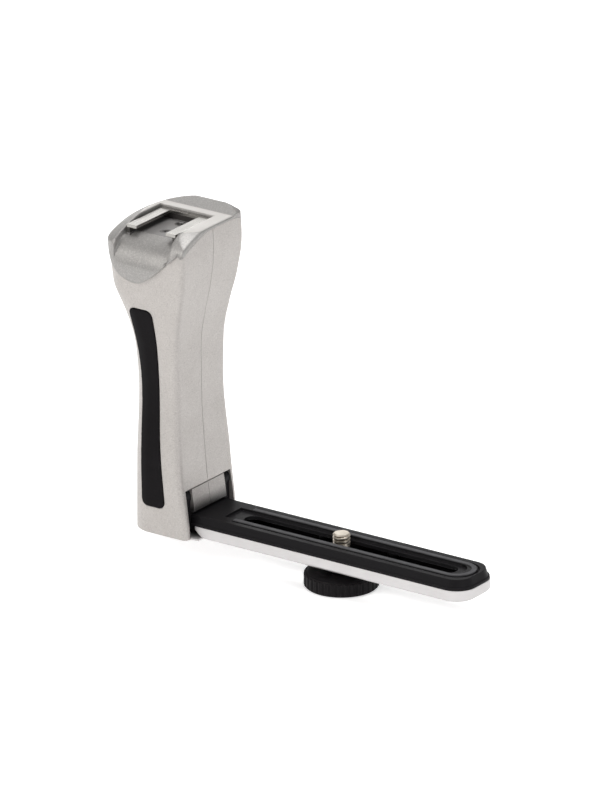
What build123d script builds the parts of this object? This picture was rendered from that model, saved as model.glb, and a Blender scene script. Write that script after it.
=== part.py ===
from build123d import *
import os

# Folding camera flash bracket, in millimetres: an upright grip handle with an accessory shoe on
# its head, and a slotted arm, hinged at its foot, that carries the camera on a sliding screw.
# Each piece is drawn with X = 0 near the handle's arm-side face, Y = 0 on the parting plane of
# its two shells and Z = 0 at its base. It is then moved, so that the origin lies on the camera
# screw's axis in the plane that the camera sits on, with +X along the arm and +Z up.

# Fits shared by all pieces
overrun = 5.0            # how far a cut runs past what it cuts
seam_gap = 0.2           # between the two shells, and between shell and cap
pocket_gap = 0.15        # between a piece and the pocket that it lies in
running_gap = 0.3        # between faces that pass each other
pin_gap = 0.05           # radial, between a pin and what turns on it
thread_gap = 0.02        # radial, between a fastener and its hole

# Handle form: level cuts, each at a share of the crown's height, with its arm-side face, its
# width along the arm and its depth across it
crown_height = 124.0
base_face = 2.0
base_width = 26.6
base_depth = 32.8
hip_share = 0.1855
hip_face = -0.6
hip_width = 23.6
hip_depth = 33.6
waist_share = 0.4355
waist_face = -2.7
waist_width = 21.6
waist_depth = 30.4
neck_share = 0.5645
neck_face = -2.8
neck_width = 22.5
neck_depth = 31.6
shoulder_share = 0.667
shoulder_face = -1.1
shoulder_width = 27.7
shoulder_depth = 34.2
cheek_share = 0.742
cheek_face = 1.0
cheek_width = 33.8
cheek_depth = 36.4
head_share = 0.863
head_face = 2.8
head_width = 36.7
head_depth = 38.4
crown_face = 2.1
crown_width = 35.8
crown_depth = 37.8
form_steps = 24          # level sections that the form is lofted through
arm_corner = 2.4         # radius of the two upright corners on the arm side
back_corner = 10.0       # radius of the two upright corners away from the arm

# Handle shells
seam_drop = 9.0          # from the crown to where the cap meets the shells
shell_wall = 2.0
deck_drop = 6.0          # from there to the deck that the cap stands on
deck_thick = 2.8
boss_radius = 3.8

# Base plate: sheet metal that closes the handle and stops the open arm
plate_thick = 0.7
plate_inset = 1.2        # from the shells' outside
plate_reach = 5.2        # how far it runs under the arm, from X = 0
plate_half = 13.8

# Hinge
pivot_x = -3.0
pivot_height = 14.8
pin_radius = 1.5
ear_radius = 3.0
ear_thick = 3.4
block_half = 9.9         # half the width of the hinge block between the ears
block_round = 6.9        # radius of the block's underside, about the pin
block_back = -16.5
block_leg_front = -6.2   # front of the leg that stands on the base plate
block_top = 26.0
block_step = 17.8        # where the shells lap over the block
block_collar_front = -4.9
washer_thick = 0.4
washer_radius = 2.8
pin_end_seat = 0.7       # how far the pin runs into each shell

# Shell screws, along Y
shell_screw_shares = (0.4032, 0.6452)    # of the crown's height, for the upper two
shell_screw_radius = 1.3
shell_screw_head = 2.6
shell_screw_head_thick = 1.5
shell_screw_cover = 0.6  # from the grip's pocket down to the screw head

# Grips
grip_low_share = 0.0839  # of the crown's height
grip_high_share = 0.6887
grip_sunk = 1.2
grip_proud = 0.35
grip_corner = 2.6
grip_arm_side = 3.1      # at the waist, from the handle's middle
grip_back_side = 5.2

# Cap: a shallow dome over the head, with a level plateau, a rounded brow and a rear tongue
cap_chin = 1.3           # how far the cap overhangs the rear face
cap_tongue = 19.0        # from the seam to the tongue's lowest point
cap_band = 1.8           # of the dome, down to the seam that follows it
cap_pan = 2.0            # from the deck up to the shoe's underside
plateau_rise = 1.1       # of the level top round the shoe, above the seam
cap_brow = 11.4          # radius that turns the dome down into the tongue
brow_drop = 10.1         # from the seam down to where that radius begins
dome_rise = 5.0
dome_across = 39.4       # radius of its arch along X
dome_along = 56.3        # and of its arch along Y
dome_middle_x = -11.6
dome_middle_y = 5.6
ramp_front = 12.2        # line on which the top rises behind the plateau
ramp_slope = 0.26        # how steeply it rises, up to the dome

# Accessory shoe, for a flash foot 18.6 wide and 2 thick
shoe_middle_x = -15.0
shoe_stop_y = 7.4        # inner face of the closed end
shoe_length = 20.9       # from the closed end to the rails' open ends
shoe_opening = 12.9      # between the lips
shoe_channel = 18.8      # between the walls
shoe_slot = 2.1          # under the lips
shoe_plate = 0.9
shoe_wall = 1.2
shoe_lip = 1.1
shoe_side_gap = 1.2      # from its walls to the cap's recess
shoe_plate_setback = 4.0 # of the plate's open edge, from the rails' ends
shoe_screw_radius = 1.2
shoe_screw_head = 2.2
shoe_screw_length = 12.0
shoe_screw_spread = 4.6  # of each screw, from the parting plane

# Arm
arm_root = 0.6
tray_root = 2.4          # of the pale tray, whose lower end is bevelled
tray_heel_length = 3.6
tray_heel_height = 3.05
arm_tip = 118.6
arm_corner_tip = 8.0
arm_half = 11.6          # half the tray's width
tray_bottom = 0.25
tray_top = 4.5
tray_wall = 1.5
tray_floor = 1.7
tray_edge = 0.7          # bevel round the tray's lower edge
body_half = 11.4         # half the black body's width, at its flange
flange_thick = 0.8
body_shoulder = 10.9     # half the width where the sloping sides begin
body_top_half = 10.0
body_top = 8.3
channel_half = 6.5
channel_roof = 6.1
recess_depth = 0.9
recess_half = 5.2
recess_root = 11.0
slot_half = 3.5
liner_wall = 0.6         # black lining of the slot through the tray
liner_thick = 0.5        # and of the tray's floor
slot_root = 16.7
slot_end = 108.3
pad_inner = 5.3          # the seat ridge, from the arm's middle
pad_outer = 7.1
pad_height = 8.6
pad_sunk = 0.6
pad_root = 16.0
groove_half = 7.6        # middle of the groove outside the ridge
groove_width = 0.7
groove_depth = 0.8
crosspiece_low = 1.6
crosspiece_back = -5.6
crosspiece_front = -0.4

# Arm screws, up from the tray's floor into the body
arm_screw_radius = 1.1
arm_screw_head = 2.0
arm_screw_head_thick = 0.7
arm_screw_depth = 5.9
arm_screw_inset = 2.7    # from the tray's side
arm_screw_shares = (0.1, 0.37, 0.63, 0.88)

# Camera screw, a quarter-inch tripod screw, and its knob
screw_place = 58.5
thread_radius = 3.175
thread_rise = 0.2        # from the recess's floor up to the thread
screw_tip = 11.0
screw_bevel = 0.5
shank_radius = 3.0
screw_head_radius = 4.4
screw_head_low = -8.4
screw_head_high = -6.0
driver_slot_width = 1.2
driver_slot_depth = 1.1
slide_washer_thick = 0.4
slide_washer_half = 6.2
slide_washer_length = 13.0
ring_radius = 5.0
ring_thick = 0.8
ring_neck = 2.35
thrust_washer_radius = 6.4
thrust_washer_thick = 0.8
knob_radius = 13.6
knob_low = -8.9
knob_rim_high = -3.8
knob_top = -2.6
knob_shoulder = 12.6
knob_hub = 9.0
knob_rib_count = 34
knob_rib_radius = 0.75
knob_edge = 0.5
knob_dish = 10.2
knob_dish_depth = 0.9

# Worked out from the sizes above
stations = (
    (0, base_face, base_width, base_depth),
    (hip_share * crown_height, hip_face, hip_width, hip_depth),
    (waist_share * crown_height, waist_face, waist_width, waist_depth),
    (neck_share * crown_height, neck_face, neck_width, neck_depth),
    (shoulder_share * crown_height, shoulder_face, shoulder_width, shoulder_depth),
    (cheek_share * crown_height, cheek_face, cheek_width, cheek_depth),
    (head_share * crown_height, head_face, head_width, head_depth),
    (crown_height, crown_face, crown_width, crown_depth),
)
seam_height = crown_height - seam_drop
deck_height = seam_height - deck_drop
shoe_seat = deck_height + cap_pan
cap_plateau = seam_height + plateau_rise
cap_brow_height = seam_height - brow_drop
grip_low = grip_low_share * crown_height
grip_high = grip_high_share * crown_height
upper_screws = [share * crown_height for share in shell_screw_shares]
shell_screw_heights = [(block_step + block_top) / 2] + upper_screws
reach = crown_height + arm_tip
ear_inner = block_half + washer_thick + pin_gap
ear_outer = ear_inner + ear_thick
slot_outer = ear_outer + running_gap
slot_roof = pivot_height + ear_radius + running_gap
pin_half_length = slot_outer + pin_end_seat
block_clear = block_round + running_gap
recess_floor = body_top - recess_depth
thread_low = recess_floor + thread_rise
tray_inside = tray_bottom + tray_floor
liner_top = tray_inside + liner_thick
slide_washer_low = liner_top + pin_gap
ring_low = slide_washer_low + slide_washer_thick + pin_gap
shoe_top = shoe_seat + shoe_plate + shoe_slot + shoe_lip
shoe_half = shoe_channel / 2 + shoe_wall
shoe_back = shoe_stop_y + shoe_wall
screw_origin = (-screw_place, 0, -pad_height)


def block(x_low, x_high, y_low, y_high, z_low, z_high):
    # A box given by its limits.
    size = (x_high - x_low, y_high - y_low, z_high - z_low)
    middle = ((x_low + x_high) / 2, (y_low + y_high) / 2, (z_low + z_high) / 2)
    return Pos(*middle) * Box(*size)


def rod_y(x, z, radius, y_low, y_high):
    # A round bar along Y.
    return Pos(x, (y_low + y_high) / 2, z) * Rot(90, 0, 0) * Cylinder(radius, y_high - y_low)


def rod_z(x, y, radius, z_low, z_high):
    # A round bar along Z.
    return Pos(x, y, (z_low + z_high) / 2) * Cylinder(radius, z_high - z_low)


def slope_at(place, column):
    # How fast a station size changes at a station: none where it turns, so nothing overshoots.
    if place in (0, len(stations) - 1):
        return 0
    below, here, above = stations[place - 1:place + 2]
    run_low = here[0] - below[0]
    run_high = above[0] - here[0]
    rate_low = (here[column] - below[column]) / run_low
    rate_high = (above[column] - here[column]) / run_high
    if rate_low * rate_high <= 0:
        return 0
    weight_low = run_low + 2 * run_high
    weight_high = run_high + 2 * run_low
    return (weight_low + weight_high) / (weight_low / rate_low + weight_high / rate_high)


def size_at(height, column):
    # A station size at any height, on a smooth curve through the stations.
    place = next(number for number, row in enumerate(stations[1:]) if row[0] >= height)
    low = stations[place]
    high = stations[place + 1]
    run = high[0] - low[0]
    share = (height - low[0]) / run
    rise = (high[column] - low[column]) * share * share * (3 - 2 * share)
    bend_low = slope_at(place, column) * share * (1 - share) ** 2
    bend_high = slope_at(place + 1, column) * share * share * (share - 1)
    return low[column] + rise + run * (bend_low + bend_high)


def middle_at(height):
    # The handle's middle along X at a height.
    return size_at(height, 1) - size_at(height, 2) / 2


def handle_form(grow=0, chin=0):
    # The handle's outer form from base to crown, grown all round, and to the rear by the chin.
    cuts = []
    for number in range(form_steps):
        height = crown_height * (number / (form_steps - 1))
        face, width, depth = [size_at(height, column) for column in (1, 2, 3)]
        cut = Rectangle(width + 2 * grow, depth + 2 * grow + chin)
        cut = Pos(face - width / 2, -chin / 2, height) * cut
        arm_side = cut.vertices().group_by(Axis.X)[-1]
        cut = fillet(arm_side, max(arm_corner + grow, arm_corner / 4))
        back_side = cut.vertices().group_by(Axis.X)[0]
        cuts.append(fillet(back_side, back_corner + grow))
    return loft(cuts)


outer_form = handle_form()
inner_form = handle_form(-shell_wall)


def tongue_prism(inset):
    # The cap's tongue as seen from the rear, with all above its seam, drawn in by an inset.
    middle = head_face - head_width / 2
    half = head_width / 2
    edge_shares = (
        (1.4, 0.1), (1.0, 0.19), (0.87, 0.29), (0.54, 0.58), (0.25, 0.83), (-0.1, 1.0),
        (-0.44, 0.92), (-0.68, 0.74), (-0.85, 0.44), (-1.0, 0.24), (-1.4, 0.1),
    )
    points = []
    for along, down in edge_shares:
        points.append((middle + along * half, seam_height + inset - down * cap_tongue))
    edge = Spline(*points)
    roof = crown_height + overrun
    top = Polyline(points[-1], (points[-1][0], roof), (points[0][0], roof), points[0])
    return extrude(Plane.XZ * make_face([edge, top]), reach)


def rounded_waste(sunk, height, half):
    # What a rounded rear edge takes off, at a depth below its surface. It begins at a height and
    # reaches half a width to both sides of the shoe's middle.
    middle_y = cap_brow - cap_chin - head_depth / 2
    low = shoe_middle_x - half - sunk
    high = shoe_middle_x + half + sunk
    bar = Pos(0, middle_y, height) * Rot(0, 90, 0) * Cylinder(cap_brow - sunk, 2 * reach)
    return block(low, high, -reach, middle_y, height, reach) - bar


def brow_waste(sunk):
    # What the brow takes off the head. Between the rails it runs on from the shoe's floor.
    slope_height = shoe_seat + shoe_plate - cap_brow
    slope = rounded_waste(sunk, slope_height, shoe_half + shoe_side_gap)
    return rounded_waste(sunk, cap_brow_height, reach) + slope


def dome(sunk):
    # All that lies under the dome, at a depth below its surface: a barrel that lies along X.
    disc = Pos(dome_middle_x, dome_along - dome_across) * Circle(dome_across - sunk)
    upper = Pos(dome_middle_x, reach / 2) * Rectangle(2 * reach, reach)
    barrel = revolve(Plane.XZ * (disc & upper), Axis.X)
    return Pos(0, dome_middle_y, seam_height + dome_rise - dome_along) * barrel


def dome_waste(sunk):
    # What the dome takes off the head, at a depth below its surface.
    return block(-reach, reach, -reach, reach, cap_brow_height - cap_brow, reach) - dome(sunk)


def grip_prism(grow):
    # The grip's outline as seen from the side, grown all round.
    arm_shares = ((1.0, 0.9), (0.86, 1.0), (0.6, 0.97), (0.35, 1.05), (0.16, 1.3), (0.0, 1.4))
    back_shares = ((0.0, 1.15), (0.2, 1.05), (0.45, 1.0), (0.7, 1.05), (0.85, 1.3), (1.0, 1.42))
    low = grip_low - grow
    high = grip_high + grow
    arm_points = []
    for up, out in arm_shares:
        height = low + up * (high - low)
        arm_points.append((middle_at(height) + out * grip_arm_side + grow, height))
    back_points = []
    for up, out in back_shares:
        height = low + up * (high - low)
        back_points.append((middle_at(height) - out * grip_back_side - grow, height))
    edges = [
        Spline(*arm_points),
        Line(arm_points[-1], back_points[0]),
        Spline(*back_points),
        Line(back_points[-1], arm_points[0]),
    ]
    face = make_face(edges)
    face = fillet(face.vertices(), grip_corner + grow)
    return extrude(Plane.XZ * face, reach, both=True)


def screw_seat(height):
    # How far from the parting plane the outer end of a shell screw's head lies.
    return size_at(height, 3) / 2 - grip_sunk - shell_screw_cover


def plain_half():
    # What both shells share, drawn as the front one: skin, bosses, hinge room and grip pocket.
    near = seam_gap / 2
    deck_low = deck_height - deck_thick
    skin = outer_form & block(-reach, reach, near, reach, 0, seam_height)
    rooms = block(-reach, reach, 0, reach, plate_thick, deck_low)
    rooms += block(-reach, reach, 0, reach, deck_height, reach)
    bosses = []
    for height in shell_screw_heights:
        end = (size_at(height, 3) - shell_wall) / 2
        bosses.append(rod_y(middle_at(height), height, boss_radius, near, end))
    shelf_back = middle_at(block_top) - size_at(block_top, 2) / 2 + back_corner
    shelf_side = (size_at(block_top, 3) - shell_wall) / 2
    shelf_top = block_top + shell_wall
    bosses.append(block(shelf_back, block_collar_front, near, shelf_side, block_top, shelf_top))
    post_x = shoe_middle_x
    post_low = deck_low - shoe_screw_length
    post = rod_z(post_x, shoe_screw_spread, boss_radius, post_low, deck_height - thread_gap)
    bosses.append(post & block(-reach, reach, near, reach, 0, reach))
    half = skin - (inner_form & rooms) + bosses
    room_back = crosspiece_back - running_gap
    pocket = grip_prism(pocket_gap) & block(-reach, reach, 0, reach, 0, seam_height)
    return half - [
        block(room_back, reach, 0, slot_outer, -overrun, slot_roof),
        block(block_back, block_collar_front, 0, block_half + pocket_gap, 0, block_top),
        rod_y(pivot_x, pivot_height, pin_radius + thread_gap, 0, pin_half_length),
        base_outline(pocket_gap, -overrun, plate_thick),
        pocket - handle_form(-grip_sunk),
    ]


def shell_rear(half):
    # The half that the cap's tongue hangs over.
    shell = mirror(half, Plane.XZ) - dome_waste(cap_band)
    for height in shell_screw_heights:
        shell -= shell_screw(height, thread_gap, reach)
    shell -= shoe_screw(-1, thread_gap)
    shell -= brow_waste(0)
    return shell - (brow_waste(cap_band) & tongue_prism(cap_band / 2))


def shell_front(half):
    # The half that the shell screws enter.
    shell = half - dome_waste(cap_band)
    for height in shell_screw_heights:
        shell -= shell_screw(height, thread_gap, reach)
    return shell - shoe_screw(1, thread_gap)


def shell_screw(height, grow, head_room):
    # A screw along Y from the front shell into the rear one, or its hole when grown.
    x = middle_at(height)
    seat = screw_seat(height)
    head_end = seat if head_room == 0 else head_room
    shank = rod_y(x, height, shell_screw_radius + grow, -seat / 2, seat)
    head = rod_y(x, height, shell_screw_head + 2 * grow, seat - shell_screw_head_thick, head_end)
    return shank + head


def shoe_screw(side, grow):
    # A countersunk screw down through shoe, cap and deck, or its hole when grown.
    top = shoe_seat + shoe_plate
    spot = side * shoe_screw_spread
    sink = shoe_screw_head - shoe_screw_radius
    shank = rod_z(shoe_middle_x, spot, shoe_screw_radius + grow, top - shoe_screw_length, top)
    head = Pos(shoe_middle_x, spot, top - sink / 2) * Cone(
        shoe_screw_radius + grow, shoe_screw_head + grow, sink
    )
    return shank + head


def base_outline(grow, z_low, z_high):
    # The base plate: the handle's foot drawn in, and a tongue under the arm's root.
    inset = plate_inset - grow
    foot = Rectangle(base_width - 2 * inset, base_depth - 2 * inset)
    foot = Pos(base_face - base_width / 2, 0, z_low) * foot
    foot = fillet(foot.vertices().group_by(Axis.X)[0], back_corner - inset)
    half = plate_half + grow
    tongue = block(block_leg_front, plate_reach, -half, half, z_low, z_high)
    return extrude(foot, z_high - z_low) + tongue


def base_plate():
    # The sheet-metal plate under the handle, with its two screw holes.
    plate = base_outline(0, 0, plate_thick)
    for spot in (-1, 1):
        plate -= base_screw(spot, thread_gap)
    return plate


def base_screw(side, grow):
    # A countersunk screw up through the base plate into the hinge block's leg.
    x = (block_back + block_leg_front) / 2
    y = side * block_half / 2
    shank = rod_z(x, y, arm_screw_radius + grow, 0, arm_screw_depth)
    head = Cone(arm_screw_head + grow, arm_screw_radius + grow, plate_thick)
    return shank + Pos(x, y, plate_thick / 2) * head


def hinge_block():
    # The block between the arm's ears, which carries the hinge pin.
    half = block_half
    leg = block(block_back + pocket_gap, block_leg_front, -half, half, plate_thick, block_top)
    collar = block(block_leg_front, block_collar_front, -half, half, pivot_height, block_top)
    nose = block(block_leg_front, reach, -half, half, pivot_height, block_step)
    nose += rod_y(pivot_x, pivot_height, block_round, -half, half)
    nose &= block(-reach, reach, -half, half, 0, block_step)
    solid = (nose & outer_form) + [leg, collar]
    line_depth = size_at(block_step, 1) - 2 * seam_gap
    cuts = [
        rod_y(pivot_x, pivot_height, pin_radius + thread_gap, -half, half),
        shell_screw(shell_screw_heights[0], thread_gap, reach),
        block(line_depth, reach, -seam_gap / 2, seam_gap / 2, 0, reach),
    ]
    for side in (-1, 1):
        cuts.append(base_screw(side, thread_gap))
    return solid - cuts


def arm_plan(half, root, tip, radius):
    # The arm's outline from above: square at the root and rounded at the tip.
    plan = Pos((root + tip) / 2, 0) * Rectangle(tip - root, 2 * half)
    return fillet(plan.vertices().group_by(Axis.X)[-1], radius)


def arm_slab(half, root, tip, radius, z_low, z_high):
    return extrude(Pos(0, 0, z_low) * arm_plan(half, root, tip, radius), z_high - z_low)


def slot_hole(half, z_low, z_high):
    # The long hole that the camera screw slides in.
    length = slot_end - slot_root
    slot = Pos((slot_root + slot_end) / 2, 0, z_low) * SlotOverall(length, 2 * half)
    return extrude(slot, z_high - z_low)


def arm_screw_places():
    # The arm screws stand in pairs along the tray's two sides.
    places = []
    for share in arm_screw_shares:
        along = arm_root + share * (arm_tip - arm_root)
        for side in (-1, 1):
            places.append((along, side * (arm_half - arm_screw_inset)))
    return places


def arm_screw(place, grow):
    x, y = place
    shank = rod_z(x, y, arm_screw_radius + grow, tray_bottom, tray_bottom + arm_screw_depth)
    head_high = tray_bottom + arm_screw_head_thick
    head_low = tray_bottom if grow == 0 else tray_bottom - overrun
    return shank + rod_z(x, y, arm_screw_head + 2 * grow, head_low, head_high)


def hinge_clear(radius):
    # The round room about the pin, between the ears.
    return rod_y(pivot_x, pivot_height, radius, -ear_inner, ear_inner)


def arm_tray():
    # The pale tray that closes the arm from below.
    tray = arm_slab(arm_half, tray_root, arm_tip, arm_corner_tip, tray_bottom, tray_top)
    tray = chamfer(tray.faces().sort_by(Axis.Z)[0].edges(), tray_edge)
    heel_x = tray_root + tray_heel_length
    heel = make_face(Polyline(
        (tray_root, tray_bottom), (heel_x, tray_bottom), (tray_root, tray_bottom + tray_heel_height),
        (tray_root, tray_bottom),
    ))
    tray -= extrude(Plane.XZ * heel, reach, both=True)
    tray -= arm_slab(
        arm_half - tray_wall, heel_x + tray_wall, arm_tip - tray_wall,
        arm_corner_tip - tray_wall, tray_inside, tray_top,
    )
    posts = []
    for place in arm_screw_places():
        posts.append(rod_z(*place, arm_screw_head + pocket_gap, tray_inside, tray_top))
    tray += posts
    cuts = [arm_screw(place, thread_gap) for place in arm_screw_places()]
    cuts.append(slot_hole(slot_half + liner_wall + thread_gap, tray_bottom - overrun, tray_top))
    return tray - cuts


def slot_liner():
    # The black strip on the tray's floor, with a collar down through the tray's slot.
    half = channel_half - pocket_gap
    strip = arm_slab(half, slot_root - half, slot_end + half, channel_half / 2, tray_inside, liner_top)
    collar = slot_hole(slot_half + liner_wall, tray_bottom, tray_inside)
    return strip + collar - slot_hole(slot_half, -reach, reach)


def arm_body():
    # The black body: flange, sloping sides, ears, slot and the relief of its top.
    flange_top = tray_top + flange_thick
    inset = arm_half - body_half
    body = arm_slab(body_half, arm_root, arm_tip - inset, arm_corner_tip - inset, tray_top, flange_top)
    lower = arm_plan(
        body_shoulder, arm_root, arm_tip + body_shoulder - arm_half,
        arm_corner_tip + body_shoulder - arm_half,
    )
    upper = arm_plan(
        body_top_half, arm_root, arm_tip + body_top_half - arm_half,
        arm_corner_tip + body_top_half - arm_half,
    )
    body += loft([Pos(0, 0, flange_top) * lower, Pos(0, 0, body_top) * upper])
    low = crosspiece_low
    cross = block(crosspiece_back, tray_root + tray_wall, -ear_outer, ear_outer, low, body_top)
    cross -= [
        block(crosspiece_front, reach, ear_inner, reach, -reach, reach),
        block(crosspiece_front, reach, -reach, -ear_inner, -reach, reach),
        block(tray_root - pocket_gap, reach, -reach, reach, -reach, tray_top),
    ]
    body += [cross, ear(-1), ear(1)]
    cuts = [
        arm_slab(
            channel_half, slot_root - channel_half, slot_end + channel_half, channel_half / 2,
            tray_top, channel_roof,
        ),
        arm_slab(recess_half, recess_root, slot_end + slot_half, recess_half - pin_gap,
                 recess_floor, body_top),
        slot_hole(slot_half, tray_top - overrun, body_top + overrun),
        seat_ridge(pocket_gap / 2, body_top - pad_sunk, body_top),
        edge_groove(),
        hinge_clear(block_clear),
    ]
    for place in arm_screw_places():
        cuts.append(arm_screw(place, thread_gap))
    return body - cuts


def ear(side):
    # One ear of the hinge, with the foot that carries it.
    low = min(side * ear_inner, side * ear_outer)
    high = max(side * ear_inner, side * ear_outer)
    plate = rod_y(pivot_x, pivot_height, ear_radius, low, high)
    plate += block(crosspiece_back, crosspiece_front, low, high, crosspiece_low, pivot_height)
    return plate - rod_y(pivot_x, pivot_height, pin_radius + pin_gap, low - overrun, high + overrun)


def seat_ridge(grow, z_low, z_high):
    # The loop-shaped ridge that the camera sits on.
    tip = slot_end + pad_outer
    outer = arm_slab(pad_outer + grow, pad_root, tip + grow, pad_outer, z_low, z_high)
    inner_tip = tip - pad_outer + pad_inner
    inner = arm_slab(pad_inner - grow, pad_root, inner_tip - grow, pad_inner - 2 * grow, z_low, z_high)
    return outer - inner - block(-reach, pad_root, -reach, reach, z_low, z_high)


def edge_groove():
    # The thin groove outside the ridge, open at the root.
    z_low = body_top - groove_depth
    tip = slot_end + groove_half + groove_width / 2
    outer = arm_slab(groove_half + groove_width / 2, pad_root, tip, pad_outer, z_low, body_top)
    inner_half = groove_half - groove_width / 2
    inner = arm_slab(inner_half, pad_root, tip - groove_width, pad_outer - groove_width, z_low, body_top)
    return outer - inner


def head_cap():
    # The cap: dome, ramp and plateau over the seam, a pan let into the head, and the rear tongue.
    tongue_low = seam_height - cap_tongue - overrun
    crown = block(-reach, reach, -reach, reach, tongue_low, cap_plateau)
    ramp_top = cap_plateau + (reach - ramp_front) * ramp_slope
    ramp = make_face(Polyline(
        (ramp_front, tongue_low), (reach, tongue_low), (reach, ramp_top),
        (ramp_front, cap_plateau), (ramp_front, tongue_low),
    ))
    crown += extrude(Plane.YZ * ramp, reach, both=True)
    crown = (crown & dome(0)) - brow_waste(0)
    under = block(-reach, reach, -reach, reach, 0, seam_height) & dome(cap_band)
    over = (crown - under) & handle_form(0, cap_chin)
    rear = block(-reach, reach, -reach, 0, 0, reach) & under & crown & tongue_prism(0)
    lining = brow_waste(cap_band - seam_gap) & tongue_prism(cap_band / 2 + seam_gap)
    tongue = (rear & handle_form(0, cap_chin)) - (handle_form(pocket_gap / 2) - lining)
    pan_room = block(-reach, reach, -reach, reach, deck_height, seam_height) & dome(cap_band)
    pan = (handle_form(-shell_wall - seam_gap) & pan_room) - brow_waste(cap_band / 2)
    half = shoe_half + shoe_side_gap
    rail_half = shoe_channel / 2 - pocket_gap
    plate_front = shoe_stop_y - shoe_length + shoe_plate_setback - pocket_gap
    recess_back = shoe_back + running_gap
    low = shoe_seat
    floor = shoe_seat + shoe_plate
    left = shoe_middle_x - half
    right = shoe_middle_x + half
    cuts = [
        block(left, right, -reach, recess_back, floor, reach),
        block(left, right, plate_front, recess_back, low, floor),
        block(left, shoe_middle_x - rail_half, -reach, recess_back, low, floor),
        block(shoe_middle_x + rail_half, right, -reach, recess_back, low, floor),
        shoe_screw(-1, thread_gap),
        shoe_screw(1, thread_gap),
    ]
    return over + [pan, tongue] - cuts


def accessory_shoe():
    # The metal rail: plate, walls and lips, open to the rear and closed at the front.
    front = shoe_stop_y - shoe_length
    low = shoe_seat
    roof = low + shoe_plate + shoe_slot
    rail = block(-shoe_half, shoe_half, front, shoe_back, low, shoe_top)
    rail -= block(
        -shoe_channel / 2, shoe_channel / 2, front - overrun, shoe_stop_y, low + shoe_plate, roof
    )
    rail -= block(-shoe_opening / 2, shoe_opening / 2, front - overrun, shoe_stop_y, roof, reach)
    rail -= block(
        -shoe_channel / 2, shoe_channel / 2, front - overrun, front + shoe_plate_setback, low, roof
    )
    rail = Pos(shoe_middle_x, 0, 0) * rail
    return rail - [shoe_screw(-1, thread_gap), shoe_screw(1, thread_gap)]


def grip_pad():
    # The soft pad of the front shell.
    prism = grip_prism(0) & block(-reach, reach, 0, reach, 0, seam_height)
    return (prism & handle_form(grip_proud)) - handle_form(pocket_gap - grip_sunk)


def camera_screw():
    # The tripod screw: head in the knob, plain shank, neck for the ring, thread on top.
    body = rod_z(screw_place, 0, screw_head_radius, screw_head_low, screw_head_high)
    body += rod_z(screw_place, 0, shank_radius, screw_head_high, ring_low)
    body += rod_z(screw_place, 0, ring_neck, ring_low, ring_low + ring_thick)
    body += rod_z(screw_place, 0, shank_radius, ring_low + ring_thick, thread_low)
    body += rod_z(screw_place, 0, thread_radius, thread_low, screw_tip)
    body = chamfer(body.edges().group_by(Axis.Z)[-1], screw_bevel)
    half = driver_slot_width / 2
    cut = block(
        screw_place - screw_head_radius, screw_place + screw_head_radius, -half, half,
        screw_head_low, screw_head_low + driver_slot_depth,
    )
    return body - cut


def knob():
    # The round knob: ribbed rim, drawn-in shoulder, and a dished underside.
    lower = [
        (0, knob_low), (knob_radius - knob_edge, knob_low), (knob_radius, knob_low + knob_edge),
        (knob_radius, knob_rim_high - knob_edge), (knob_radius - knob_edge, knob_rim_high),
        (knob_shoulder, knob_rim_high),
    ]
    edge = Polyline(*lower)
    crest = knob_top
    round_over = ThreePointArc(
        (knob_shoulder, knob_rim_high),
        ((knob_shoulder + knob_hub) / 2 + knob_edge, (knob_rim_high + crest) / 2 + knob_edge / 2),
        (knob_hub, crest),
    )
    close = Polyline((knob_hub, crest), (0, crest), (0, knob_low))
    body = revolve(Plane.XZ * make_face([edge, round_over, close]), Axis.Z)
    flutes = []
    for number in range(knob_rib_count):
        angle = 360 * number / knob_rib_count
        place = knob_radius + knob_rib_radius / 2
        flutes.append(Rot(0, 0, angle) * rod_z(place, 0, knob_rib_radius, knob_low, knob_rim_high))
    body = Pos(screw_place, 0, 0) * (body - flutes)
    body -= rod_z(screw_place, 0, knob_dish, knob_low, knob_low + knob_dish_depth)
    body += rod_z(screw_place, 0, screw_head_radius + knob_edge, knob_low + knob_edge,
                  knob_low + knob_dish_depth)
    body -= rod_z(screw_place, 0, screw_head_radius + thread_gap, knob_low, screw_head_high)
    return body - rod_z(screw_place, 0, shank_radius + thread_gap, knob_low, knob_top)


def washer(outer, inner, z_low, thick):
    # A flat ring about the camera screw.
    ring = rod_z(screw_place, 0, outer, z_low, z_low + thick)
    return ring - rod_z(screw_place, 0, inner, z_low - overrun, z_low + thick + overrun)


def slide_washer():
    # The plate that rides along the tray's floor under the retaining ring.
    half = slide_washer_length / 2
    plate = block(
        screw_place - half, screw_place + half, -slide_washer_half, slide_washer_half,
        slide_washer_low, slide_washer_low + slide_washer_thick,
    )
    return plate - rod_z(screw_place, 0, thread_radius + pin_gap, 0, tray_top)


def hinge_washers():
    # The two thin rings between the hinge block and the ears.
    rings = []
    for side in (-1, 1):
        low = min(side * block_half, side * (block_half + washer_thick))
        ring = rod_y(pivot_x, pivot_height, washer_radius, low, low + washer_thick)
        rings.append(ring - rod_y(pivot_x, pivot_height, pin_radius + pin_gap, -reach, reach))
    return rings


def write(name, *solids):
    # Writes one node, moved so that the camera screw's seat is the origin.
    pieces = []
    for solid in solids:
        for piece in (Pos(*screw_origin) * solid).solids():
            pieces.append(piece)
    whole = pieces[0] if len(pieces) == 1 else Compound(children=pieces)
    export_step(whole, f"parts/{name}.step")


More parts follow.
